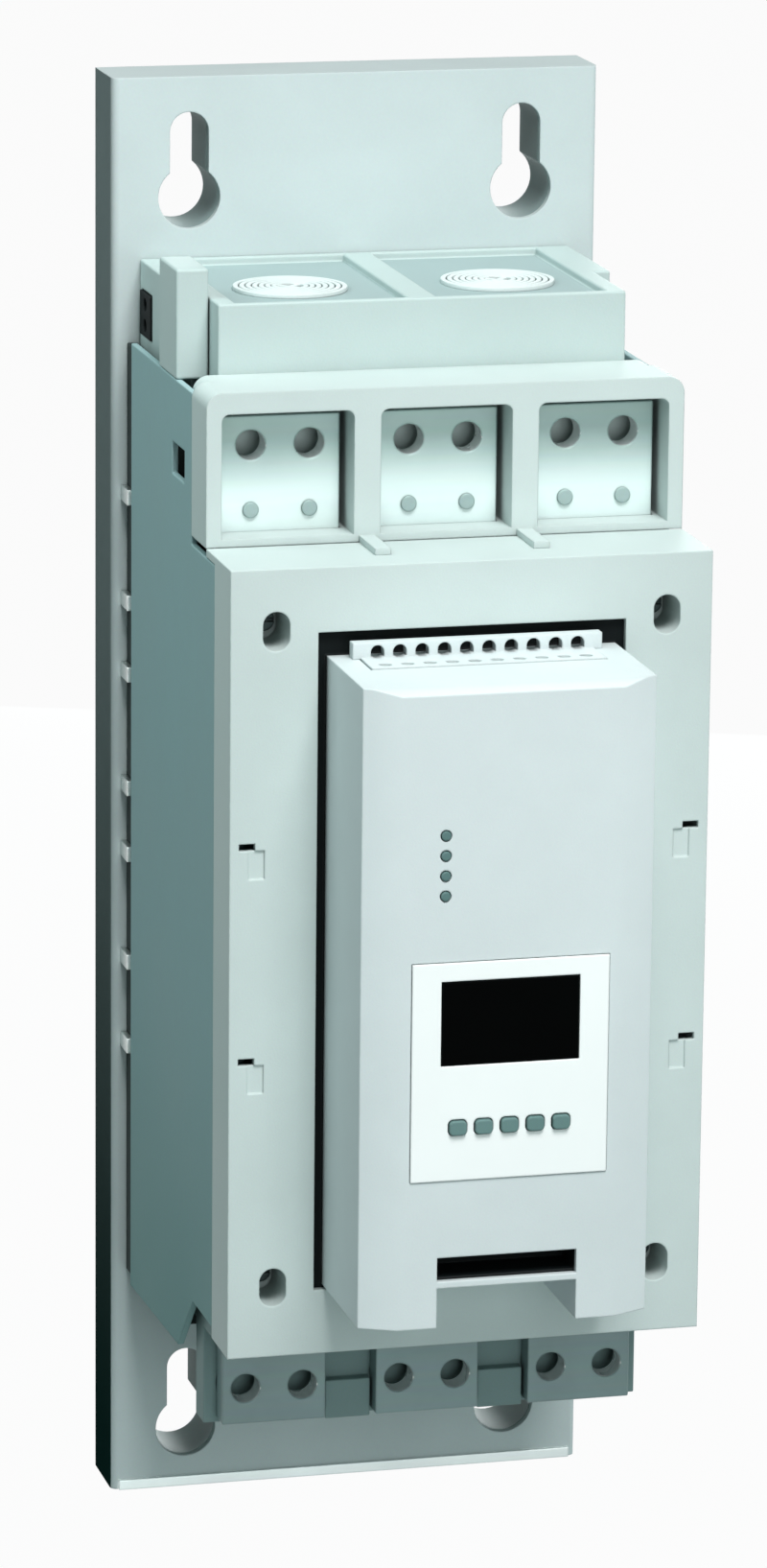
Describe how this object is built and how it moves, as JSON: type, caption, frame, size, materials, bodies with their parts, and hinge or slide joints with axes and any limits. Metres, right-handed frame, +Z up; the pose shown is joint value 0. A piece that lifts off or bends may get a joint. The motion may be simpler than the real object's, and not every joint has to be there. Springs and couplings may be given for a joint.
{
  "type": "soft starter",
  "caption": "Wall-mounted motor soft starter: keyhole plate, finned heat sink with fans on top, cable bar bays above and below, front cover and control module with display and keys.",
  "frame": {"origin": "on the wall plane, at the centre of the four keyhole entries", "axes": "+X right seen from the front, +Y into the wall, +Z up; the front faces -Y"},
  "size_m": [0.19, 0.27, 0.56],
  "materials": {
    "plate_paint": "satin pale grey-green paint on sheet steel",
    "side_paint": "satin grey-green paint on sheet steel",
    "zinc": "bright zinc plate",
    "dark_steel": "dark oxide",
    "cast_aluminium": "extruded, dark anodised",
    "light_plastic": "fine-grained moulded, pale grey-green",
    "grey_plastic": "moulded, grey-green",
    "pale_plastic": "fine-grained moulded, very pale grey",
    "dark_plastic": "moulded, black",
    "fan_plastic": "moulded, pale",
    "white_guard": "coated, white",
    "tinned_copper": "tin plate on copper bar",
    "board_green": "solder mask",
    "display_metal": "pressed frame",
    "display_window": "black glossy window",
    "white_panel": "smooth white film",
    "key_rubber": "matt grey",
    "light_lens": "unlit lenses"
  },
  "bodies": {
    "base": {"mounting_plate": "plate_paint", "keyhole_spacers": "zinc", "plate_bolts": "zinc", "side_panel_left": "side_paint", "side_panel_right": "side_paint", "side_clips": "zinc", "heat_sink": "cast_aluminium", "fan_housing": "light_plastic", "cable_grommet": "dark_plastic", "fan_frame_left": "dark_plastic", "fan_frame_right": "dark_plastic", "fan_guard_left": "white_guard", "fan_guard_right": "white_guard", "corner_post": "light_plastic", "line_terminal_housing": "light_plastic", "line_terminal_1": "tinned_copper", "line_terminal_2": "tinned_copper", "line_terminal_3": "tinned_copper", "terminal_screws": "zinc", "load_terminal_housing": "grey_plastic", "load_terminal_1": "tinned_copper", "load_terminal_2": "tinned_copper", "load_terminal_3": "tinned_copper", "thyristor_1": "dark_plastic", "thyristor_2": "dark_plastic", "thyristor_3": "dark_plastic", "bar_bolts": "zinc", "current_sensor_1": "dark_plastic", "current_sensor_2": "dark_plastic", "current_sensor_3": "dark_plastic", "board_posts": "zinc", "driver_board": "board_green", "front_cover": "light_plastic", "cover_screws": "dark_steel", "module_back": "dark_plastic", "control_board": "board_green", "module_housing": "pale_plastic", "control_terminals": "pale_plastic", "control_terminal_screws": "zinc", "port_socket": "dark_plastic", "display_board": "board_green", "lcd_display": "display_metal", "lcd_window": "display_window", "keypad_panel": "white_panel", "keypad_mat": "key_rubber", "status_lights": "light_lens"},
    "fan_left": {"fan_rotor_left": "fan_plastic"},
    "fan_right": {"fan_rotor_right": "fan_plastic"},
    "key_1_body": {"key_1": "key_rubber"},
    "key_2_body": {"key_2": "key_rubber"},
    "key_3_body": {"key_3": "key_rubber"},
    "key_4_body": {"key_4": "key_rubber"},
    "key_5_body": {"key_5": "key_rubber"}
  },
  "joints": [
    {"name": "fan_left_spin", "type": "hinge", "parent": "base", "child": "fan_left", "pos_m": [-0.04, -0.09, 0.209], "axis": [0, 0, 1], "continuous": true},
    {"name": "fan_right_spin", "type": "hinge", "parent": "base", "child": "fan_right", "pos_m": [0.04, -0.09, 0.209], "axis": [0, 0, 1], "continuous": true},
    {"name": "key_1_press", "type": "slide", "parent": "base", "child": "key_1_body", "axis": [0, 1, 0], "range_m": [0, 0.0008], "stiffness_N_per_m": 1500},
    {"name": "key_2_press", "type": "slide", "parent": "base", "child": "key_2_body", "axis": [0, 1, 0], "range_m": [0, 0.0008], "stiffness_N_per_m": 1500},
    {"name": "key_3_press", "type": "slide", "parent": "base", "child": "key_3_body", "axis": [0, 1, 0], "range_m": [0, 0.0008], "stiffness_N_per_m": 1500},
    {"name": "key_4_press", "type": "slide", "parent": "base", "child": "key_4_body", "axis": [0, 1, 0], "range_m": [0, 0.0008], "stiffness_N_per_m": 1500},
    {"name": "key_5_press", "type": "slide", "parent": "base", "child": "key_5_body", "axis": [0, 1, 0], "range_m": [0, 0.0008], "stiffness_N_per_m": 1500}
  ]
}
